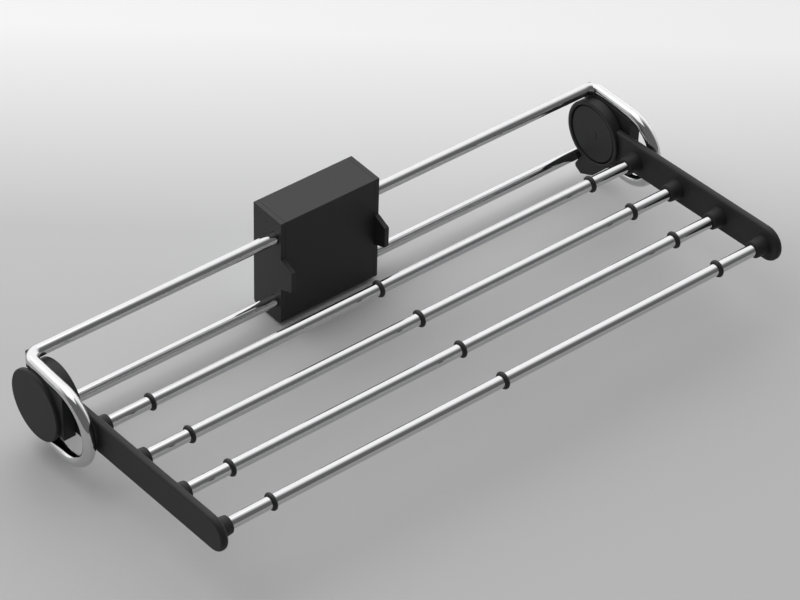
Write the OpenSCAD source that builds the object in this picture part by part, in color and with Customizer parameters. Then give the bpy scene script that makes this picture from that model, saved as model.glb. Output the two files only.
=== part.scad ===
// Wall-mounted trouser rack: a bent tube frame with a rack of four bars that swings up.
// Origin: centre of the wall fixing, on the wall. +X right, +Z up, and -Y out from the wall.

/* [Frame tube] */
// Outside diameter of the bent frame tube
tube_d = 15; // [14:0.5:16]
// Wall thickness of the bent frame tube
tube_wall = 1.2; // [1:0.1:1.6]
// Width over the outer sides of the two end loops
frame_w = 841; // [700:1:1100]
// Height between the centre lines of the two rails
rail_gap = 94; // [92:1:104]
// Bend radius of the corners, to the centre line
corner_r = 14; // [13:0.5:20]
// Distance from the rails forward to where the nose of each loop begins
loop_reach = 70; // [66:1:110]

/* [Housing] */
// Width of the housing over its end caps
box_w = 143; // [132:1:200]
// Depth of the housing, from the wall to its front
box_d = 52.5; // [50:0.5:70]
// Height of the housing above its centre
box_up = 73.5; // [70:0.5:90]
// Height of the housing below its centre
box_down = 76.5; // [75:0.5:95]
// Distance from the front of the housing back to the rail centre lines
rail_inset = 11.5; // [10.5:0.5:16]
// Radius of the two lower edges of the housing
lower_edge_r = 5; // [4.5:0.5:7]
// Wall thickness of the front shell
shell_wall = 2.2; // [2:0.1:2.6]
// Thickness of the end caps and their tabs
cap_t = 6; // [5:0.5:8]
// Distance that each tab stands out in front of the housing
tab_out = 20; // [10:1:30]
// Height of each tab where it leaves the housing
tab_base_h = 44; // [36:1:60]
// Height of each tab at its front edge
tab_tip_h = 28; // [16:1:34]
// Distance of the tab's middle below the housing's centre
tab_drop = 1; // [0:0.5:4]
// Thickness of the steel back plate
plate_t = 2.5; // [2.5:0.1:4]

/* [Wall fixing] */
// Diameter of the four holes for the wall screws
wall_hole_d = 5.5; // [4.5:0.5:6.5]
// Distance from the inner side of each end cap in to the wall screw holes
wall_hole_in = 11.5; // [11:0.5:20]
// Distance between the wall screw holes from top to bottom
wall_hole_dz = 64; // [40:1:72]

/* [Hubs] */
// Diameter of the outer covers and of the dished inner hubs
hub_d = 89; // [80:0.5:90]
// Distance of the hub axis in front of the rails
hub_out = 28; // [27:0.5:40]
// Thickness of the outer cover
cover_t = 5; // [4:0.5:7]
// Distance that the hub block reaches in front of the hub axis
block_front = 50; // [42:0.5:54]
// Distance of the block's front lower edge below the hub axis
block_low = 19; // [17:0.5:24]
// Depth of the dished inner hub along the hub axis
dish_t = 14; // [13.5:0.5:18]
// Radial width of the raised rim of the dished hub
dish_rim = 5.5; // [4:0.5:8]
// Width of the groove between the rim and the inset cap
cap_groove = 1.5; // [1:0.1:6]
// Diameter of the shoulder bolt that the arm turns on
axle_d = 12; // [10:0.5:14]

/* [Arms] */
// Height of the arms
arm_h = 45; // [38:1:46]
// Thickness of the arms
arm_t = 9.5; // [9:0.5:11]
// Radius of the arm's long edges
arm_edge_r = 3.6; // [2:0.1:4]
// Distance of the bars below the arm's centre line
bar_drop = 2; // [0:0.1:3]
// Distance from the last bar to the arm's end
arm_tip = 24; // [22:0.5:30]
// Rise of the arms towards the front, at rest (degrees)
rest_tilt = 4.1; // [0:0.1:6]
// Lean of the stop face from upright (degrees)
stop_lean = 29.1; // [24:0.1:34]

/* [Bars] */
// Outside diameter of the bars
bar_d = 15; // [13:0.5:16]
// Wall thickness of the bars
bar_wall = 1; // [0.8:0.1:1.5]
// Distance from the hub axis to the first bar
bar_first = 75; // [70:1:90]
// Distance from each bar to the next
bar_pitch = 74; // [50:1:90]
// Length of each tapered boss
boss_l = 16.5; // [12:0.5:22]
// Diameter of each boss at the arm
boss_base_d = 25; // [24:0.5:28]
// Diameter of each boss at its open end
boss_end_d = 21.5; // [19:0.5:23]

/* [Bar rings] */
// Outside diameter of the rubber rings
ring_d = 21.5; // [20:0.5:24]
// Width of each rubber ring along the bar
ring_w = 5.5; // [4:0.5:8]
// Distance of the outer rings from the open ends of the bosses
ring_margin = 56; // [30:1:120]

/* [Hidden] */
$fn = 64;

// Sides, and the two ways from the middle
left = -1;
right = 1;
both_ways = [-1, 1];
ring_places = [-1, 0, 1];
bar_count = 4;

// Gaps: a fixed fit, a running fit, a loose fit, a step past a cut face, and a stop at rest
fit_gap = 0.05;
run_gap = 0.05;
loose_gap = 0.2;
over = 1;
stop_gap = 0.3;

// Colours
chrome = "silver";
black = "#26272a";
rubber = "#17181a";
steel = "#8c9196";

// Frame tube
tube_r = tube_d / 2;
tube_bore_r = tube_r - tube_wall;
rail_z = rail_gap / 2;
rail_y = -(box_d - rail_inset);
leg_x = frame_w / 2 - tube_r;
bend_x = leg_x - corner_r;
nose_y = rail_y - loop_reach;

// Housing
box_x = box_w / 2;
cap_x = box_x - cap_t;
wall_hole_x = cap_x - wall_hole_in;
seam_gap = 0.3;
cap_lip_l = 4;
cap_lip_t = 1.6;
rail_hole_gap = 0.3;
plate_x = cap_x - fit_gap;
plate_top = box_up - shell_wall - loose_gap;
plate_low = -box_down + lower_edge_r + loose_gap;
flange_x = 42;
flange_d = 15;

// Countersunk screws of the housing: shank, head and engaged length
small_screw_d = 3.5;
small_head_d = 6.6;
small_head_h = 1.7;
small_screw_l = 11;
rail_screw_d = 5;
rail_head_d = 9.2;
rail_head_h = 2.2;
rail_screw_x = 25;
head_sink = 0.2;
cap_screw_in = 5;
cap_screw_x = cap_x - cap_screw_in;
cap_screw_edge = 11.5;
cap_screw_z = min(box_up, box_down) - cap_screw_edge;
cap_boss_w = 10;
cap_boss_h = 9;
cap_boss_l = 13;
shell_screw_x = 30;
shell_screw_y = -9;
shell_boss_d = 9;

// Cradles and joiners
cradle_x = 40;
cradle_base_h = 26;
cradle_seat_h = 20;
joiner_r = tube_bore_r - fit_gap;

// Layers along each hub, outward from the inner side
hub_y = rail_y - hub_out;
hub_r = hub_d / 2;
arm_gap = 2;
arm_out_x = leg_x - tube_r - arm_gap;
arm_in_x = arm_out_x - arm_t;
dish_in_x = arm_out_x - dish_t;
washer_t = 1;
block_in_x = arm_out_x + washer_t + 2 * run_gap;
block_out_x = leg_x + tube_r;
cover_in_x = block_out_x + fit_gap;

// Hub block
leg_cover = 3;
block_top = rail_z - leg_cover;
block_foot_l = 37;
block_foot_back = 23;
block_set_back = 11;
block_back = hub_out - block_set_back;
block_back_h = 16;
block_slope_h = 6;
block_back_low = block_top - block_back_h;
hook_w = 7;
hook_l = 18;
hook_out = 5.5;
hook_rise = 3.3;
hook_top = rail_z + hook_rise;
hook_h = 23.5;
nut_seat_t = 6.4;
nut_seat_r = 12.5;
pocket_t = 5.5;
pocket_l = 26;
pocket_h = 17;
seat_wall = 6;
pocket_top = rail_z - tube_r - seat_wall;
block_screw_d = 5;
block_head_d = 8.5;
block_head_h = 5;
block_screw_bite = 3;
peg_r = 3;
peg_l = 7;
peg_front = 34;
peg_rise = 9;
peg_back = 17.5;
peg_spots = [[-peg_front, peg_rise], [-peg_front, -peg_rise], [peg_back, 0]];
cover_bevel = 1.2;

// Dished hub, its cap and the shoulder bolt
dish_web_t = 5.5;
dish_edge = 1;
bush_t = 2;
bush_flange_w = 6;
bush_flange_r = axle_d / 2 + bush_flange_w;
bush_flange_t = 1.2;
bush_r = axle_d / 2 + run_gap + bush_t;
axle_head_w = 4;
axle_head_r = axle_d / 2 + axle_head_w;
axle_head_t = 3.4;
axle_socket_r = 4;
axle_step = 1;
axle_thread_r = axle_d / 2 - axle_step;
spring_w = 5;
spring_r = axle_thread_r + spring_w;
spring_t = 1.2;
nut_w = 4.8;
nut_r = axle_thread_r + nut_w;
nut_t = 5.5;
axle_tip = 1.3;
axle_tail = spring_t + nut_t + axle_tip;
washer_r = 30;
cap_inset = 1.3;
cap_wall = 1.6;
cap_button_r = 7;
cap_button_h = 0.4;
hub_cap_r = hub_r - dish_rim - cap_groove;
cap_bowl = 0.8;

// Arms and bars
boss_root = 2;
tip_x = bar_first + (bar_count - 1) * bar_pitch + arm_tip - arm_h / 2;
socket_skin = 2.5;
boss_lip = 1;
ring_out = arm_in_x - boss_l - ring_margin;
lug_t = 7.3;
stop_l = 23;
stop_round_r = 5;
stop_sole_w = 14;
stop_front_w = 34;
stop_front_rise = 7;
stop_root_l = 10.6;
bar_end_x = arm_out_x - socket_skin;
ring_tube_r = ring_w / 2;
ring_grip = 0.03;

function hub_forward(k) = bar_first + (k - 1) * bar_pitch;

// Direction across the stop face, and the face's distance from the hub axis, in Y and Z
stop_across = [cos(stop_lean), sin(stop_lean)];
stop_along = [sin(stop_lean), -cos(stop_lean)];
stop_face = hub_out * stop_across[0] - rail_z * stop_across[1] - tube_r - stop_gap;
function lug_point(out, along) = out * stop_across + along * stop_along;
function stop_point(across, along) = lug_point(stop_face - across, along);

// Draws its children on the right side, or mirrored on the left
module on_side(side) {
    if (side < 0)
        mirror([1, 0, 0]) children();
    else
        children();
}

// A flat shape with its own x and y along Y and Z, given thickness along X
module slab_x(from_x, to_x) {
    translate([from_x, 0, 0])
        rotate([90, 0, 90])
            linear_extrude(to_x - from_x) children();
}

// A round bar along X
module rod_x(from_x, to_x, r) {
    translate([from_x, 0, 0])
        rotate([0, 90, 0])
            cylinder(h = to_x - from_x, r = r);
}

// A round bar that runs forward from a point
module rod_forward(x, y, z, l, r) {
    translate([x, y, z])
        rotate([90, 0, 0])
            cylinder(h = l, r = r);
}

// A turned shape about X, from a flat profile of radius and place along X
module turned_x() {
    rotate([0, 90, 0])
        rotate_extrude() children();
}

// A countersunk screw that points forward, with its head's face at y
module countersunk(x, y, z, d, head_d, head_h, l, gap) {
    rod_forward(x, y, z, l, d / 2 + gap);
    translate([x, y, z])
        rotate([90, 0, 0])
            cylinder(h = head_h, r1 = head_d / 2 + gap, r2 = d / 2 + gap);
}

// The space of one half of the frame tube at diameter d, from x = start outward
module half_loop(d, start) {
    for (way = both_ways)
        translate([0, 0, way * rail_z]) {
            translate([0, rail_y, 0])
                rod_x(start, bend_x, d / 2);
            translate([bend_x, rail_y - corner_r, 0])
                rotate_extrude(angle = 90)
                    translate([corner_r, 0])
                        circle(d = d);
            rod_forward(leg_x, rail_y - corner_r, 0, loop_reach - corner_r, d / 2);
        }
    translate([leg_x, nose_y, 0])
        rotate([0, -90, 180])
            rotate_extrude(angle = 180)
                translate([rail_z, 0])
                    circle(d = d);
}

// The section of the housing, smaller all round by inset
module box_section(inset) {
    w = box_d - 2 * inset;
    h = box_up + box_down - 2 * inset;
    r = lower_edge_r - inset;
    translate([-box_d + inset, -box_down + inset]) {
        translate([0, r])
            square([w, h - r]);
        translate([r, 0])
            square([w - 2 * r, h]);
        for (x = [r, w - r])
            translate([x, r])
                circle(r = r);
    }
}

// Puts its children at the four corners of a rectangle on the wall side
module at_corners(dx, dz) {
    for (x = both_ways, z = both_ways)
        translate([x * dx, 0, z * dz]) children();
}

// The space of one rail screw, cap screw or shell screw, larger all round by gap
module rail_screw(gap) {
    countersunk(0, -head_sink, 0, rail_screw_d, rail_head_d, rail_head_h,
        -rail_y + joiner_r / 2, gap);
}

module cap_screw(gap) {
    countersunk(0, -head_sink, 0, small_screw_d, small_head_d, small_head_h, small_screw_l, gap);
}

module shell_screw(gap) {
    translate([0, shell_screw_y, -box_down + head_sink])
        rotate([-90, 0, 0])
            countersunk(0, 0, 0, small_screw_d, small_head_d, small_head_h, small_screw_l, gap);
}

module back_plate() {
    color(steel)
        difference() {
            union() {
                translate([-plate_x, -plate_t, plate_low])
                    cube([2 * plate_x, plate_t, plate_top - plate_low]);
                for (z = [plate_low, plate_top - plate_t])
                    translate([-flange_x, -flange_d, z])
                        cube([2 * flange_x, flange_d, plate_t]);
            }
            at_corners(wall_hole_x, wall_hole_dz / 2)
                rod_forward(0, over, 0, plate_t + 2 * over, wall_hole_d / 2);
            at_corners(rail_screw_x, rail_z)
                rail_screw(fit_gap);
            at_corners(rail_screw_x, rail_z)
                rod_forward(0, over, 0, over + head_sink + fit_gap, rail_head_d / 2 + fit_gap);
            at_corners(cap_screw_x, cap_screw_z)
                cap_screw(fit_gap);
            at_corners(cap_screw_x, cap_screw_z)
                rod_forward(0, over, 0, over + head_sink + fit_gap, small_head_d / 2 + fit_gap);
            for (way = both_ways)
                translate([way * shell_screw_x, 0, 0])
                    shell_screw(fit_gap);
        }
}

module front_shell() {
    shell_x = cap_x - seam_gap;
    color(black)
        difference() {
            union() {
                slab_x(-shell_x, shell_x)
                    difference() {
                        box_section(0);
                        box_section(shell_wall);
                        translate([-shell_wall - over, plate_low - loose_gap])
                            square([shell_wall + 2 * over, plate_top - plate_low + 2 * loose_gap]);
                    }
                for (way = both_ways)
                    translate([way * shell_screw_x, shell_screw_y, -box_down + shell_wall - fit_gap])
                        cylinder(h = lower_edge_r - shell_wall + loose_gap, d = shell_boss_d);
            }
            for (way = both_ways)
                translate([way * shell_screw_x, 0, 0]) {
                    shell_screw(fit_gap);
                    translate([0, shell_screw_y, -box_down - over])
                        cylinder(h = over + head_sink + fit_gap, r = small_head_d / 2 + fit_gap);
                }
        }
}

// The tab's outline: a sloped tongue in front of the housing
module tab_outline() {
    polygon([
        [-box_d + over, -tab_drop + tab_base_h / 2],
        [-box_d, -tab_drop + tab_base_h / 2],
        [-box_d - tab_out, -tab_drop + tab_tip_h / 2],
        [-box_d - tab_out, -tab_drop - tab_tip_h / 2],
        [-box_d, -tab_drop - tab_base_h / 2],
        [-box_d + over, -tab_drop - tab_base_h / 2]
    ]);
}

module end_cap(side) {
    color(black)
        on_side(side)
            difference() {
                union() {
                    slab_x(cap_x, box_x)
                        box_section(0);
                    slab_x(cap_x, box_x)
                        tab_outline();
                    slab_x(cap_x - cap_lip_l, cap_x + fit_gap)
                        difference() {
                            box_section(shell_wall + fit_gap);
                            box_section(shell_wall + fit_gap + cap_lip_t);
                            translate([-flange_d - loose_gap, -box_down])
                                square([flange_d + over, box_up + box_down]);
                        }
                    for (way = both_ways)
                        translate([cap_x - cap_boss_w, -plate_t - fit_gap - cap_boss_l,
                                way * cap_screw_z - cap_boss_h / 2])
                            cube([cap_boss_w + fit_gap, cap_boss_l, cap_boss_h]);
                }
                for (way = both_ways) {
                    translate([0, rail_y, way * rail_z])
                        rod_x(cap_x - cap_lip_l - over, box_x + over, tube_r + rail_hole_gap);
                    translate([cap_screw_x, 0, way * cap_screw_z])
                        cap_screw(fit_gap);
                }
            }
}

module rail_cradle(way) {
    color(black)
        difference() {
            slab_x(-cradle_x, cradle_x)
                translate([0, way * rail_z])
                    polygon([
                        [-plate_t, -cradle_base_h / 2],
                        [-plate_t, cradle_base_h / 2],
                        [rail_y, cradle_seat_h / 2],
                        [rail_y, -cradle_seat_h / 2]
                    ]);
            translate([0, rail_y, way * rail_z])
                rod_x(-cradle_x - over, cradle_x + over, tube_r + fit_gap);
            at_corners(rail_screw_x, rail_z)
                rail_screw(fit_gap);
        }
}

module tube_joiner(way) {
    color(steel)
        difference() {
            translate([0, rail_y, way * rail_z])
                rod_x(-cradle_x, cradle_x, joiner_r);
            at_corners(rail_screw_x, rail_z)
                rail_screw(fit_gap);
        }
}

module frame_tube(side) {
    color(chrome)
        on_side(side)
            difference() {
                half_loop(tube_d, 0);
                half_loop(2 * tube_bore_r, -over);
                for (way = both_ways) {
                    translate([rail_screw_x, 0, way * rail_z])
                        rail_screw(fit_gap);
                    translate([leg_x, hub_y, way * (rail_z - tube_r)])
                        cylinder(h = 2 * block_screw_bite, d = block_screw_d + 2 * fit_gap, center = true);
                }
            }
}

module rail_screws() {
    color(steel)
        at_corners(rail_screw_x, rail_z)
            rail_screw(0);
}

module cap_screws() {
    color(steel)
        at_corners(cap_screw_x, cap_screw_z)
            cap_screw(0);
}

module shell_screws() {
    color(steel)
        for (way = both_ways)
            translate([way * shell_screw_x, 0, 0])
                shell_screw(0);
}

// The block's outline from its side, measured from the hub axis
module block_outline() {
    polygon([
        [-block_front, -block_low],
        [-block_front, block_top],
        [block_back, block_top],
        [block_back, block_back_low],
        [block_foot_back, block_back_low - block_slope_h],
        [block_foot_back, -block_top],
        [block_foot_back - block_foot_l, -block_top],
        [block_foot_back - block_foot_l, -block_low]
    ]);
}

// The two socket screws that hold a block: one into each leg of the loop
module block_screw_pair(gap) {
    for (way = both_ways)
        mirror([0, 0, way < 0 ? 1 : 0])
            translate([leg_x, hub_y, pocket_top]) {
                translate([0, 0, -block_head_h - gap])
                    cylinder(h = block_head_h + gap, r = block_head_d / 2 + gap);
                translate([0, 0, -over])
                    cylinder(h = over + rail_z - tube_r - pocket_top + block_screw_bite,
                        r = block_screw_d / 2 + gap);
            }
}

module hub_block(side) {
    color(black)
        on_side(side)
            difference() {
                union() {
                    translate([0, hub_y, 0])
                        slab_x(block_in_x, block_out_x)
                            block_outline();
                    translate([block_in_x, rail_y + hook_out - hook_l, hook_top - hook_h])
                        cube([hook_w, hook_l, hook_h]);
                }
                half_loop(tube_d + 2 * fit_gap, 0);
                translate([0, hub_y, 0]) {
                    rod_x(block_in_x - over, block_out_x, axle_d / 2 + fit_gap);
                    rod_x(block_in_x + nut_seat_t, block_out_x + over, nut_seat_r);
                    for (spot = peg_spots)
                        translate([0, spot[0], spot[1]])
                            rod_x(cover_in_x - peg_l - loose_gap, block_out_x + over, peg_r + fit_gap);
                }
                for (z = [pocket_top - pocket_h, -pocket_top])
                    translate([block_in_x + pocket_t, hub_y - pocket_l / 2, z])
                        cube([block_out_x - block_in_x, pocket_l, pocket_h]);
                block_screw_pair(fit_gap);
            }
}

module block_screws(side) {
    color(steel)
        on_side(side)
            block_screw_pair(0);
}

module hub_cover(side) {
    color(black)
        on_side(side)
            translate([0, hub_y, 0]) {
                turned_x()
                    polygon([
                        [0, cover_in_x],
                        [hub_r, cover_in_x],
                        [hub_r, cover_in_x + cover_t - cover_bevel],
                        [hub_r - cover_bevel, cover_in_x + cover_t],
                        [0, cover_in_x + cover_t]
                    ]);
                for (spot = peg_spots)
                    translate([0, spot[0], spot[1]])
                        rod_x(cover_in_x - peg_l, cover_in_x + fit_gap, peg_r);
            }
}

// Places along X of the shoulder bolt's steps
web_in_x = arm_out_x - dish_web_t;
head_out_x = web_in_x - bush_flange_t - 2 * run_gap;
shoulder_x = block_in_x + nut_seat_t;

module hub_axle(side) {
    color(steel)
        on_side(side)
            translate([0, hub_y, 0])
                difference() {
                    union() {
                        rod_x(head_out_x - axle_head_t, head_out_x, axle_head_r);
                        rod_x(head_out_x - over, shoulder_x, axle_d / 2);
                        rod_x(shoulder_x - over, shoulder_x + axle_tail, axle_thread_r);
                    }
                    translate([head_out_x - axle_head_t - over, 0, 0])
                        rotate([0, 90, 0])
                            cylinder(h = axle_head_t, r = axle_socket_r, $fn = 6);
                }
}

module disc_spring(side) {
    color(steel)
        on_side(side)
            translate([0, hub_y, 0])
                turned_x()
                    polygon([
                        [axle_thread_r + fit_gap, shoulder_x + spring_t / 2],
                        [spring_r, shoulder_x],
                        [spring_r, shoulder_x + spring_t / 2],
                        [axle_thread_r + fit_gap, shoulder_x + spring_t]
                    ]);
}

module lock_nut(side) {
    nut_x = shoulder_x + spring_t;
    color(steel)
        on_side(side)
            translate([0, hub_y, 0])
                difference() {
                    translate([nut_x, 0, 0])
                        rotate([0, 90, 0])
                            cylinder(h = nut_t, r = nut_r, $fn = 6);
                    rod_x(nut_x - over, nut_x + nut_t + over, axle_thread_r + fit_gap);
                }
}

// Puts its children in the rack's own frame: forward along -Y, at the rest tilt
module in_rack() {
    translate([0, hub_y, 0])
        rotate([-rest_tilt, 0, 0])
            children();
}

// Half of the arm's section: height along X and thickness along Y, with rounded outer edges
module arm_half_section() {
    r = arm_edge_r;
    half_h = arm_h / 2;
    translate([0, arm_in_x + r])
        square([half_h, arm_t - 2 * r]);
    translate([0, arm_in_x])
        square([half_h - r, arm_t]);
    for (y = [arm_in_x + r, arm_out_x - r])
        translate([half_h - r, y])
            circle(r = r);
}

// The straight arm up to the centre of its round tip, and the tip
module arm_beam() {
    rotate([90, 0, 0])
        linear_extrude(tip_x) {
            rotate(-90)
                arm_half_section();
            rotate(-90)
                mirror([1, 0])
                    arm_half_section();
        }
    translate([0, -tip_x, 0])
        turned_x()
            arm_half_section();
}

module bar_boss(forward) {
    boss_in_x = arm_in_x - boss_l;
    translate([0, -forward, -bar_drop])
        turned_x()
            polygon([
                [0, arm_in_x + boss_root],
                [boss_base_d / 2, arm_in_x + boss_root],
                [boss_base_d / 2, arm_in_x],
                [boss_end_d / 2, boss_in_x + boss_lip],
                [boss_end_d / 2 - boss_lip, boss_in_x],
                [0, boss_in_x]
            ]);
}

module hub_dish() {
    turned_x()
        polygon([
            [0, arm_out_x],
            [hub_r - dish_edge, arm_out_x],
            [hub_r, arm_out_x - dish_edge],
            [hub_r, dish_in_x + dish_edge],
            [hub_r - dish_edge, dish_in_x],
            [hub_r - dish_rim + dish_edge, dish_in_x],
            [hub_r - dish_rim, dish_in_x + dish_edge],
            [hub_r - dish_rim, web_in_x],
            [0, web_in_x]
        ]);
}

// The lug below the hub that rests on the lower rail
module stop_lug() {
    heel = hub_r - dish_rim / 2;
    toe = hub_r + stop_l - stop_round_r;
    translate([0, hub_y, 0])
        slab_x(dish_in_x, dish_in_x + lug_t) {
            difference() {
                polygon([
                    stop_point(0, heel - dish_rim / 2),
                    stop_point(0, toe),
                    stop_point(stop_round_r, toe + stop_round_r),
                    stop_point(stop_sole_w, toe + stop_round_r),
                    lug_point(-stop_front_w, heel + stop_front_rise),
                    lug_point(-hub_r + dish_rim / 4, stop_root_l)
                ]);
                circle(r = hub_r - dish_rim / 2);
            }
            translate(stop_point(stop_round_r, toe))
                circle(r = stop_round_r);
        }
}

module arm(side) {
    color(black)
        on_side(side)
            difference() {
                union() {
                    in_rack() {
                        difference() {
                            arm_beam();
                            rod_x(arm_in_x - over, web_in_x, hub_r - dish_rim);
                        }
                        hub_dish();
                        for (k = [1:bar_count])
                            bar_boss(hub_forward(k));
                    }
                    stop_lug();
                }
                in_rack() {
                    rod_x(web_in_x - over, arm_out_x + over, bush_r + fit_gap);
                    for (k = [1:bar_count])
                        translate([0, -hub_forward(k), -bar_drop])
                            rod_x(arm_in_x - boss_l - over, bar_end_x, bar_d / 2 + fit_gap);
                }
            }
}

module hub_bush(side) {
    color(rubber)
        on_side(side)
            translate([0, hub_y, 0])
                turned_x()
                    polygon([
                        [axle_d / 2 + run_gap, web_in_x - bush_flange_t],
                        [bush_flange_r, web_in_x - bush_flange_t],
                        [bush_flange_r, web_in_x],
                        [bush_r, web_in_x],
                        [bush_r, block_in_x - run_gap],
                        [axle_d / 2 + run_gap, block_in_x - run_gap]
                    ]);
}

module friction_washer(side) {
    color(rubber)
        on_side(side)
            translate([0, hub_y, 0])
                turned_x()
                    translate([bush_r + fit_gap, arm_out_x + run_gap])
                        square([washer_r - bush_r, washer_t]);
}

module hub_cap(side) {
    face_x = dish_in_x + cap_inset;
    color(black)
        on_side(side)
            translate([0, hub_y, 0])
                turned_x()
                    polygon([
                        [0, face_x + cap_bowl - cap_button_h],
                        [cap_button_r - cap_button_h, face_x + cap_bowl - cap_button_h],
                        [cap_button_r, face_x + cap_bowl],
                        [hub_cap_r - dish_edge, face_x],
                        [hub_cap_r, face_x + dish_edge],
                        [hub_cap_r, web_in_x],
                        [hub_cap_r - cap_wall, web_in_x],
                        [hub_cap_r - cap_wall, face_x + cap_wall],
                        [0, face_x + cap_bowl + cap_wall]
                    ]);
}

module bar(k) {
    color(chrome)
        in_rack()
            translate([0, -hub_forward(k), -bar_drop])
                difference() {
                    rod_x(-bar_end_x, bar_end_x, bar_d / 2);
                    rod_x(-bar_end_x - over, bar_end_x + over, bar_d / 2 - bar_wall);
                }
}

module bar_rings(k) {
    color(rubber)
        in_rack()
            translate([0, -hub_forward(k), -bar_drop])
                for (place = ring_places)
                    translate([place * ring_out, 0, 0])
                        turned_x()
                            intersection() {
                                translate([ring_d / 2 - ring_tube_r, 0])
                                    circle(r = ring_tube_r);
                                translate([bar_d / 2 + ring_grip, -ring_w])
                                    square(2 * ring_w);
                            }
}

back_plate();
front_shell();
end_cap(left);  // end_cap_left
end_cap(right);  // end_cap_right
rail_cradle(1);  // upper_cradle
rail_cradle(-1);  // lower_cradle
tube_joiner(1);  // upper_joiner
tube_joiner(-1);  // lower_joiner
frame_tube(left);  // frame_tube_left
frame_tube(right);  // frame_tube_right
rail_screws();
cap_screws();
shell_screws();
hub_block(left);  // hub_block_left
hub_block(right);  // hub_block_right
block_screws(left);  // block_screws_left
block_screws(right);  // block_screws_right
hub_cover(left);  // hub_cover_left
hub_cover(right);  // hub_cover_right
hub_axle(left);  // hub_axle_left
hub_axle(right);  // hub_axle_right
disc_spring(left);  // disc_spring_left
disc_spring(right);  // disc_spring_right
lock_nut(left);  // lock_nut_left
lock_nut(right);  // lock_nut_right
arm(left);  // arm_left
arm(right);  // arm_right
hub_bush(left);  // hub_bush_left
hub_bush(right);  // hub_bush_right
friction_washer(left);  // friction_washer_left
friction_washer(right);  // friction_washer_right
hub_cap(left);  // hub_cap_left
hub_cap(right);  // hub_cap_right
bar(1);  // bar_1
bar(2);  // bar_2
bar(3);  // bar_3
bar(4);  // bar_4
bar_rings(1);  // bar_rings_1
bar_rings(2);  // bar_rings_2
bar_rings(3);  // bar_rings_3
bar_rings(4);  // bar_rings_4
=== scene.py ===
"""Looks of the wall-mounted trouser rack: finishes, floor, lights and camera."""

import math

import bpy
from bpy.props import FloatProperty, FloatVectorProperty, PointerProperty
from mathutils import Matrix, Vector

bl_info = {
    "name": "Trouser Rack Looks",
    "version": (1, 0, 0),
    "blender": (4, 5, 0),
    "location": "3D View > Sidebar > Trouser Rack",
    "description": "Dresses the trouser rack in its finishes and sets up its stage",
    "category": "Object",
}

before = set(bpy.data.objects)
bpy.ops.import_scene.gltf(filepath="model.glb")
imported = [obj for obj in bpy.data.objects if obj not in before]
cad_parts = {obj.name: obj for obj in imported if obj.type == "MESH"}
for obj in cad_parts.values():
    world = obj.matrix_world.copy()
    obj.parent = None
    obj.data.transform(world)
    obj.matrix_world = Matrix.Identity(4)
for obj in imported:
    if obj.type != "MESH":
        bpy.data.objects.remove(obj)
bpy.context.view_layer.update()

MM = 0.001

# Width of the camera's sensor, mm, and how far it sees, m
SENSOR_WIDTH = 36.0
SIGHT = 50.0

# Half the floor's width, m, and the level direction in which it grows lighter
FLOOR_HALF = 6.0
FLOOR_LIGHTENS = (0.64, 0.77, 0.0)
# Distances along that direction, m, at which the near and middle painted shade and the far painted
# light stand
NEAR_PAINTED_SHADE = -0.16
MIDDLE_PAINTED_SHADE = 0.09
FAR_PAINTED_LIGHT = 0.5

# Level direction from which the air's light comes: the back, and a little from the right
LIGHT_SIDE = (0.5, 0.866, 0.0)
# Lean towards that side at which the air is at its darkest and its brightest
DARK_LEAN = -0.28
BRIGHT_LEAN = 0.5

# The large soft box overhead, and the point it looks at, m
SOFT_BOX_PLACE = (-0.6, 0.5, 2.2)
SOFT_BOX_AIM = (0.0, -0.15, 0.0)
SOFT_BOX_SIDE = 2.4

CHROMED_NODES = ["frame_tube_left", "frame_tube_right", "bar_1", "bar_2", "bar_3", "bar_4"]
HOUSING_NODES = ["front_shell", "end_cap_left", "end_cap_right"]
CRADLE_NODES = ["upper_cradle", "lower_cradle"]
HUB_NODES = ["hub_block_left", "hub_block_right", "hub_cover_left", "hub_cover_right",
             "hub_cap_left", "hub_cap_right"]
ARM_NODES = ["arm_left", "arm_right"]
RING_NODES = ["bar_rings_1", "bar_rings_2", "bar_rings_3", "bar_rings_4"]
BEARING_NODES = ["hub_bush_left", "hub_bush_right", "friction_washer_left",
                 "friction_washer_right"]
PLATE_NODES = ["back_plate"]
HARDWARE_NODES = ["upper_joiner", "lower_joiner", "rail_screws", "cap_screws", "shell_screws",
                  "block_screws_left", "block_screws_right", "hub_axle_left", "hub_axle_right",
                  "disc_spring_left", "disc_spring_right", "lock_nut_left", "lock_nut_right"]


# Colour

def linear(hex_text):
    """An sRGB hex colour as linear red, green, blue and alpha."""
    channels = [int(hex_text[i:i + 2], 16) / 255 for i in (1, 3, 5)]
    return tuple(c / 12.92 if c <= 0.04045 else ((c + 0.055) / 1.055) ** 2.4
                 for c in channels) + (1.0,)


# Nodes

def add_node(tree, kind, inputs=None, **settings):
    """Adds a shader node, sets its properties, and fills or links its input sockets."""
    node = tree.nodes.new(kind)
    for name, value in settings.items():
        setattr(node, name, value)
    for name, value in (inputs or {}).items():
        if isinstance(value, bpy.types.NodeSocket):
            tree.links.new(value, node.inputs[name])
        else:
            node.inputs[name].default_value = value
    return node


def new_material(name):
    """An empty node material and its tree."""
    material = bpy.data.materials.new(name)
    material.use_nodes = True
    material.node_tree.nodes.clear()
    return material, material.node_tree


def end_material(tree, shader):
    """Sends a shader to the material's surface."""
    add_node(tree, "ShaderNodeOutputMaterial", {"Surface": shader})


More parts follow.
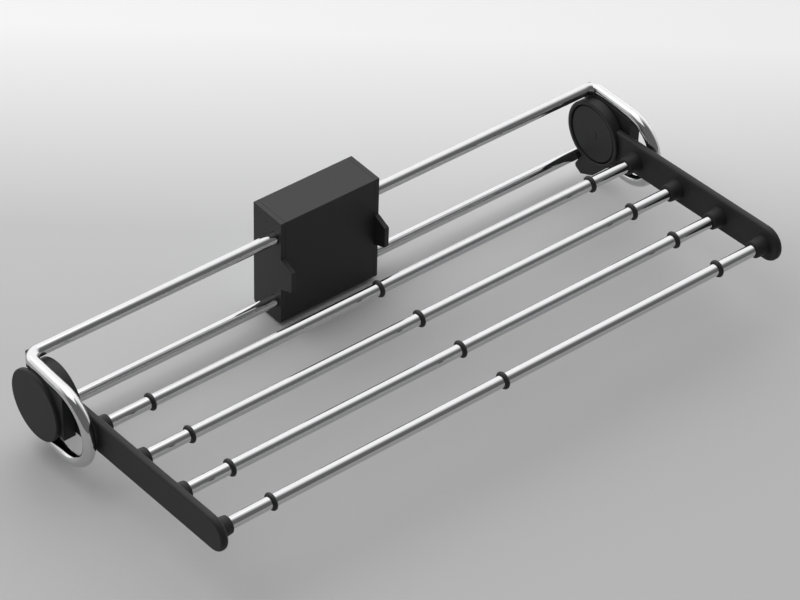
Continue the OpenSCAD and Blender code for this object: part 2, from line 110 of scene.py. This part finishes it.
def grain(tree, size_mm, detail=2.0, stretch=(1.0, 1.0, 1.0)):
    """Noise whose features are size_mm across, in the part's own coordinates."""
    place = add_node(tree, "ShaderNodeTexCoord")
    drawn = add_node(tree, "ShaderNodeMapping",
                     {"Vector": place.outputs["Object"], "Scale": stretch})
    return add_node(tree, "ShaderNodeTexNoise",
                    {"Vector": drawn.outputs["Vector"], "Scale": 1 / (size_mm * MM),
                     "Detail": detail})


def between(tree, factor, low, high):
    """Maps a 0 to 1 value to low to high."""
    return add_node(tree, "ShaderNodeMapRange",
                    {"Value": factor, "To Min": low, "To Max": high}).outputs["Result"]


def tint(tree, factor, dark, light):
    """Mixes two linear colours by a factor."""
    mix = add_node(tree, "ShaderNodeMix", data_type="RGBA")
    tree.links.new(factor, mix.inputs["Factor"])
    mix.inputs["A"].default_value = dark
    mix.inputs["B"].default_value = light
    return mix.outputs["Result"]


def soft_edges(tree, radius_mm):
    """Normals that turn over each sharp edge as a small moulded radius does."""
    bevel = add_node(tree, "ShaderNodeBevel", {"Radius": radius_mm * MM}, samples=6)
    return bevel.outputs["Normal"]


# Materials

def bright_chromed_steel(finish):
    """Drawn steel tube, polished and chrome plated."""
    # A near mirror; the polish leaves faint lines along the tube, and the plate a slight cloud
    # Real polishing lines are too fine to show, so they are drawn at 1.2 mm
    material, tree = new_material("bright_chromed_steel")
    cloud = grain(tree, 9.0, detail=3.0)
    lines = grain(tree, 1.2, detail=2.0, stretch=(0.04, 1.0, 1.0))
    bump = add_node(tree, "ShaderNodeBump",
                    {"Height": lines.outputs["Fac"], "Strength": 0.04, "Distance": 0.1 * MM})
    shader = add_node(tree, "ShaderNodeBsdfPrincipled", {
        "Base Color": tint(tree, cloud.outputs["Fac"], finish.chrome_deep, finish.chrome),
        "Metallic": 1.0,
        "Roughness": between(tree, cloud.outputs["Fac"], 0.05, 0.1),
        "Normal": bump.outputs["Normal"]})
    end_material(tree, shader.outputs["BSDF"])
    return material


def moulded_plastic(name, dark, light, grit_mm, depth_mm, roughness, edge_mm, shine):
    """Injection moulded plastic with a fine spark-eroded surface and softened edges."""
    # The grit spreads the light to a satin sheen, and the edges catch a thin soft highlight
    # Real grit is under 0.1 mm across, too fine to show, so it is drawn coarser
    material, tree = new_material(name)
    cloud = grain(tree, 22.0, detail=3.0)
    grit = grain(tree, grit_mm, detail=2.0)
    bump = add_node(tree, "ShaderNodeBump",
                    {"Height": grit.outputs["Fac"], "Strength": 0.3, "Distance": depth_mm * MM,
                     "Normal": soft_edges(tree, edge_mm)})
    shader = add_node(tree, "ShaderNodeBsdfPrincipled", {
        "Base Color": tint(tree, cloud.outputs["Fac"], dark, light),
        "Roughness": between(tree, cloud.outputs["Fac"], roughness - 0.04, roughness + 0.04),
        "IOR": 1.54,
        "Specular IOR Level": shine,
        "Normal": bump.outputs["Normal"]})
    end_material(tree, shader.outputs["BSDF"])
    return material


def housing_abs(finish):
    """Injection moulded ABS of the housing, in a satin black."""
    return moulded_plastic("moulded_black_abs", finish.housing_deep, finish.housing,
                           grit_mm=0.5, depth_mm=0.05, roughness=finish.housing_roughness,
                           edge_mm=0.4, shine=0.3)


def hub_nylon(finish):
    """Injection moulded nylon of the arms and hubs, with rounder edges and a fainter shine."""
    return moulded_plastic("moulded_black_nylon", finish.hub_deep, finish.hub,
                           grit_mm=0.6, depth_mm=0.04, roughness=finish.hub_roughness,
                           edge_mm=0.6, shine=0.15)


def cradle_nylon(finish):
    """Glass-filled nylon of the hidden cradles, dull from its fibres."""
    return moulded_plastic("moulded_glass_filled_nylon", finish.hub_deep, finish.housing,
                           grit_mm=0.4, depth_mm=0.08, roughness=0.6, edge_mm=0.3, shine=0.5)


def moulded_black_rubber(finish):
    """Compression moulded rubber."""
    # Soft and dull, with a trace of dusty bloom; the skin is drawn coarser than the real one
    material, tree = new_material("moulded_black_rubber")
    bloom = grain(tree, 4.0, detail=4.0)
    skin = grain(tree, 0.4)
    bump = add_node(tree, "ShaderNodeBump",
                    {"Height": skin.outputs["Fac"], "Strength": 0.3, "Distance": 0.04 * MM})
    shader = add_node(tree, "ShaderNodeBsdfPrincipled", {
        "Base Color": tint(tree, bloom.outputs["Fac"], finish.rubber_deep, finish.rubber),
        "Roughness": between(tree, bloom.outputs["Fac"], 0.5, 0.66),
        "IOR": 1.52,
        "Normal": bump.outputs["Normal"]})
    end_material(tree, shader.outputs["BSDF"])
    return material


def turned_acetal(finish):
    """Turned acetal of the bushes and friction washers."""
    # A waxy sheen that wanders a little
    material, tree = new_material("turned_black_acetal")
    wax = grain(tree, 6.0)
    shader = add_node(tree, "ShaderNodeBsdfPrincipled", {
        "Base Color": tint(tree, wax.outputs["Fac"], finish.rubber_deep, finish.rubber),
        "Roughness": between(tree, wax.outputs["Fac"], 0.3, 0.4),
        "IOR": 1.48})
    end_material(tree, shader.outputs["BSDF"])
    return material


def zinc_plated_steel(finish):
    """Pressed and turned steel, bright zinc plated."""
    # Brighter than bare steel, with a cloudy, slightly blue passivated skin
    material, tree = new_material("zinc_plated_steel")
    cloud = grain(tree, 5.0, detail=4.0)
    shader = add_node(tree, "ShaderNodeBsdfPrincipled", {
        "Base Color": tint(tree, cloud.outputs["Fac"], finish.zinc_deep, finish.zinc),
        "Metallic": 1.0,
        "Roughness": between(tree, cloud.outputs["Fac"], 0.26, 0.42)})
    end_material(tree, shader.outputs["BSDF"])
    return material


# Pieces

def dress(names, material):
    """Gives CAD nodes one material."""
    for name in names:
        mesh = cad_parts[name].data
        mesh.materials.clear()
        mesh.materials.append(material)


# Stage

def camera_axes(azimuth, elevation, roll):
    """The camera's right, up and back directions, from angles in radians."""
    right = Vector((math.cos(azimuth), math.sin(azimuth), 0))
    back = Vector((math.sin(azimuth) * math.cos(elevation),
                   -math.cos(azimuth) * math.cos(elevation), math.sin(elevation)))
    up = back.cross(right)
    return (right * math.cos(roll) - up * math.sin(roll),
            right * math.sin(roll) + up * math.cos(roll), back)


def build_camera(settings):
    """The photograph's view."""
    right, up, back = camera_axes(settings.azimuth, settings.elevation, settings.roll)
    data = bpy.data.cameras.new("photo_camera")
    data.sensor_width = SENSOR_WIDTH
    data.lens = settings.lens
    data.clip_end = SIGHT
    camera = bpy.data.objects.new("photo_camera", data)
    turn = Matrix((right, up, back)).transposed().to_4x4()
    place = Vector(settings.aim) + back * settings.distance
    camera.matrix_world = Matrix.Translation(place) @ turn
    bpy.context.scene.collection.objects.link(camera)
    bpy.context.scene.camera = camera


def add_soft_light(name, place, aim, side, power):
    """A square soft box that looks at a point."""
    data = bpy.data.lights.new(name, "AREA")
    data.shape = "SQUARE"
    data.size = side
    data.energy = power
    light = bpy.data.objects.new(name, data)
    light.location = place
    light.rotation_euler = (Vector(aim) - Vector(place)).to_track_quat("-Z", "Y").to_euler()
    bpy.context.scene.collection.objects.link(light)


def build_floor(settings):
    """A wide pale floor that grows lighter towards the back."""
    signs = [(-1, -1), (1, -1), (1, 1), (-1, 1)]
    corners = [(x * FLOOR_HALF, y * FLOOR_HALF, 0) for x, y in signs]
    mesh = bpy.data.meshes.new("studio_floor")
    mesh.from_pydata(corners, [], [(0, 1, 2, 3)])
    floor = bpy.data.objects.new("studio_floor", mesh)
    floor.location = (0, 0, settings.floor_height)
    bpy.context.scene.collection.objects.link(floor)
    # Matt board; its grade from grey at the front to near white at the back is painted light
    # falloff: painted shade at the front, painted light at the back
    material, tree = new_material("studio_board_with_painted_falloff")
    place = add_node(tree, "ShaderNodeTexCoord")
    depth = add_node(tree, "ShaderNodeVectorMath",
                     {0: place.outputs["Object"], 1: FLOOR_LIGHTENS}, operation="DOT_PRODUCT")
    near = add_node(tree, "ShaderNodeMapRange",
                    {"Value": depth.outputs["Value"], "From Min": NEAR_PAINTED_SHADE,
                     "From Max": MIDDLE_PAINTED_SHADE})
    far = add_node(tree, "ShaderNodeMapRange",
                   {"Value": depth.outputs["Value"], "From Min": MIDDLE_PAINTED_SHADE,
                    "From Max": FAR_PAINTED_LIGHT})
    paint = add_node(tree, "ShaderNodeMix", data_type="RGBA")
    tree.links.new(far.outputs["Result"], paint.inputs["Factor"])
    tree.links.new(tint(tree, near.outputs["Result"], settings.floor_near_shade, settings.floor_middle_shade),
                   paint.inputs["A"])
    paint.inputs["B"].default_value = settings.floor_far_light
    shader = add_node(tree, "ShaderNodeBsdfPrincipled", {
        "Base Color": paint.outputs["Result"], "Roughness": 0.7, "Specular IOR Level": 0.15})
    end_material(tree, shader.outputs["BSDF"])
    mesh.materials.append(material)


def build_world(settings):
    """Studio air, bright behind the rack and dark on the viewer's side."""
    world = bpy.data.worlds.new("studio_air")
    world.use_nodes = True
    world.node_tree.nodes.clear()
    tree = world.node_tree
    place = add_node(tree, "ShaderNodeTexCoord")
    lean = add_node(tree, "ShaderNodeVectorMath",
                    {0: place.outputs["Generated"], 1: LIGHT_SIDE}, operation="DOT_PRODUCT")
    level = add_node(tree, "ShaderNodeMapRange",
                     {"Value": lean.outputs["Value"],
                      "From Min": DARK_LEAN, "From Max": BRIGHT_LEAN,
                      "To Min": settings.front_air, "To Max": settings.back_air},
                     interpolation_type="SMOOTHSTEP")
    air = add_node(tree, "ShaderNodeBackground",
                   {"Color": linear("#FFFFFF"), "Strength": level.outputs["Result"]})
    add_node(tree, "ShaderNodeOutputWorld", {"Surface": air.outputs["Background"]})
    bpy.context.scene.world = world


# Settings

def finish_colour(name, hex_text, description):
    """A colour setting with an sRGB default."""
    return FloatVectorProperty(name=name, description=description, default=linear(hex_text),
                               size=4, min=0.0, max=1.0, subtype="COLOR")


class RackFinishSettings(bpy.types.PropertyGroup):
    """The colours and the sheen of the rack's materials."""
    chrome: finish_colour("Chrome", "#CDCDCE", "Brighter tint of the chrome plate")
    chrome_deep: finish_colour("Chrome, deep", "#C3C3C4", "Darker tint of the chrome plate")
    housing: finish_colour("Housing", "#2A2A2B", "Lighter tint of the housing's plastic")
    housing_deep: finish_colour("Housing, deep", "#252526", "Darker tint of the housing's plastic")
    housing_roughness: FloatProperty(name="Housing roughness",
                                     description="Sheen of the housing, from 0 glossy to 1 matt",
                                     default=0.52, min=0.1, max=1.0, subtype="FACTOR")
    hub: finish_colour("Hubs and arms", "#303031", "Lighter tint of the hubs and arms")
    hub_deep: finish_colour("Hubs and arms, deep", "#2A2A2B", "Darker tint of the hubs and arms")
    hub_roughness: FloatProperty(name="Hub and arm roughness",
                                 description="Sheen of the hubs and arms, from 0 glossy to 1 matt",
                                 default=0.5, min=0.1, max=1.0, subtype="FACTOR")
    rubber: finish_colour("Rubber", "#19191B", "Lighter tint of the rings and bearings")
    rubber_deep: finish_colour("Rubber, deep", "#0E0E10", "Darker tint of the rings and bearings")
    zinc: finish_colour("Zinc", "#C6CACF", "Brighter tint of the plated steel")
    zinc_deep: finish_colour("Zinc, deep", "#A9ADB3", "Darker tint of the plated steel")


class RackStageSettings(bpy.types.PropertyGroup):
    """The floor, the light and the photograph's camera."""
    azimuth: FloatProperty(name="Azimuth", description="Camera's turn about the vertical",
                           default=math.radians(-39.73), subtype="ANGLE")
    elevation: FloatProperty(name="Elevation", description="Camera's height angle",
                             default=math.radians(40.25), subtype="ANGLE")
    roll: FloatProperty(name="Roll", description="Camera's turn about its own axis",
                        default=math.radians(-1.73), subtype="ANGLE")
    distance: FloatProperty(name="Distance", description="From the aim point to the camera",
                            default=4.0796, unit="LENGTH")
    aim: FloatVectorProperty(name="Aim", description="Point at the middle of the picture",
                             default=(0.0445, -0.1291, -0.0464), subtype="XYZ", unit="LENGTH")
    lens: FloatProperty(name="Lens", description="Focal length on a 36 mm sensor",
                        default=157.4, min=20.0, unit="CAMERA")
    floor_height: FloatProperty(name="Floor height", description="Height of the floor",
                                default=-0.080, unit="LENGTH")
    # The near and middle floor colours are painted shade and the far one is painted light; together
    # they grade the floor darker at the front
    floor_near_shade: finish_colour("Near floor", "#B7B7B7", "Floor colour at the front")
    floor_middle_shade: finish_colour("Middle floor", "#BFBFBF", "Floor colour under the rack")
    floor_far_light: finish_colour("Far floor", "#F0F0F0", "Floor colour at the back")
    back_air: FloatProperty(name="Back light", description="Strength of the light from behind",
                            default=1.53, min=0.0)
    front_air: FloatProperty(name="Front light", description="Strength of the light from the front",
                             default=0.175, min=0.0)
    key_power: FloatProperty(name="Key", description="Power of the large overhead light",
                             default=22.0, min=0.0, unit="POWER")


class RACK_OT_tubes(bpy.types.Operator):
    """Plates the frame tubes and the bars with chrome."""
    bl_idname = "rack.tubes"
    bl_label = "Chromed Tubes"

    def execute(self, context):
        dress(CHROMED_NODES, bright_chromed_steel(context.scene.rack_finish))
        return {"FINISHED"}


class RACK_OT_housing(bpy.types.Operator):
    """Finishes the front shell and the end caps."""
    bl_idname = "rack.housing"
    bl_label = "Housing"

    def execute(self, context):
        dress(HOUSING_NODES, housing_abs(context.scene.rack_finish))
        return {"FINISHED"}


class RACK_OT_cradles(bpy.types.Operator):
    """Finishes the rail cradles inside the housing."""
    bl_idname = "rack.cradles"
    bl_label = "Cradles"

    def execute(self, context):
        dress(CRADLE_NODES, cradle_nylon(context.scene.rack_finish))
        return {"FINISHED"}


class RACK_OT_arms(bpy.types.Operator):
    """Finishes the arms and the hubs."""
    bl_idname = "rack.arms"
    bl_label = "Arms and Hubs"

    def execute(self, context):
        dress(ARM_NODES + HUB_NODES, hub_nylon(context.scene.rack_finish))
        return {"FINISHED"}


class RACK_OT_rings(bpy.types.Operator):
    """Finishes the rubber rings."""
    bl_idname = "rack.rings"
    bl_label = "Bar Rings"

    def execute(self, context):
        dress(RING_NODES, moulded_black_rubber(context.scene.rack_finish))
        return {"FINISHED"}


class RACK_OT_bearings(bpy.types.Operator):
    """Finishes the bushes and the friction washers."""
    bl_idname = "rack.bearings"
    bl_label = "Bearings"

    def execute(self, context):
        dress(BEARING_NODES, turned_acetal(context.scene.rack_finish))
        return {"FINISHED"}


class RACK_OT_hardware(bpy.types.Operator):
    """Finishes the back plate, the bolts, the springs, the nuts and the screws."""
    bl_idname = "rack.hardware"
    bl_label = "Steel Parts"

    def execute(self, context):
        dress(PLATE_NODES + HARDWARE_NODES, zinc_plated_steel(context.scene.rack_finish))
        return {"FINISHED"}


class RACK_OT_stage(bpy.types.Operator):
    """Sets up the floor, the lights and the camera."""
    bl_idname = "rack.stage"
    bl_label = "Stage"

    def execute(self, context):
        settings = context.scene.rack_stage
        build_camera(settings)
        build_world(settings)
        build_floor(settings)
        add_soft_light("overhead_soft_box", SOFT_BOX_PLACE, SOFT_BOX_AIM, SOFT_BOX_SIDE,
                       settings.key_power)
        context.scene.view_settings.view_transform = "Standard"
        return {"FINISHED"}


class RACK_PT_looks(bpy.types.Panel):
    """Lists the steps that dress the trouser rack."""
    bl_idname = "RACK_PT_looks"
    bl_label = "Trouser Rack"
    bl_space_type = "VIEW_3D"
    bl_region_type = "UI"
    bl_category = "Trouser Rack"

    def draw(self, context):
        for step in STEPS:
            self.layout.operator(step.bl_idname)
        for settings in (context.scene.rack_finish, context.scene.rack_stage):
            for name in settings.__annotations__:
                self.layout.prop(settings, name)


STEPS = (RACK_OT_tubes, RACK_OT_housing, RACK_OT_cradles, RACK_OT_arms, RACK_OT_rings,
         RACK_OT_bearings, RACK_OT_hardware, RACK_OT_stage)
CLASSES = (RackFinishSettings, RackStageSettings) + STEPS + (RACK_PT_looks,)


def register():
    for cls in CLASSES:
        bpy.utils.register_class(cls)
    bpy.types.Scene.rack_finish = PointerProperty(type=RackFinishSettings)
    bpy.types.Scene.rack_stage = PointerProperty(type=RackStageSettings)


def unregister():
    del bpy.types.Scene.rack_finish
    del bpy.types.Scene.rack_stage
    for cls in reversed(CLASSES):
        bpy.utils.unregister_class(cls)


def main():
    """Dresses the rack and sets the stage."""
    register()
    for step in STEPS:
        area, name = step.bl_idname.split(".")
        getattr(getattr(bpy.ops, area), name)()


if __name__ == "__main__":
    main()
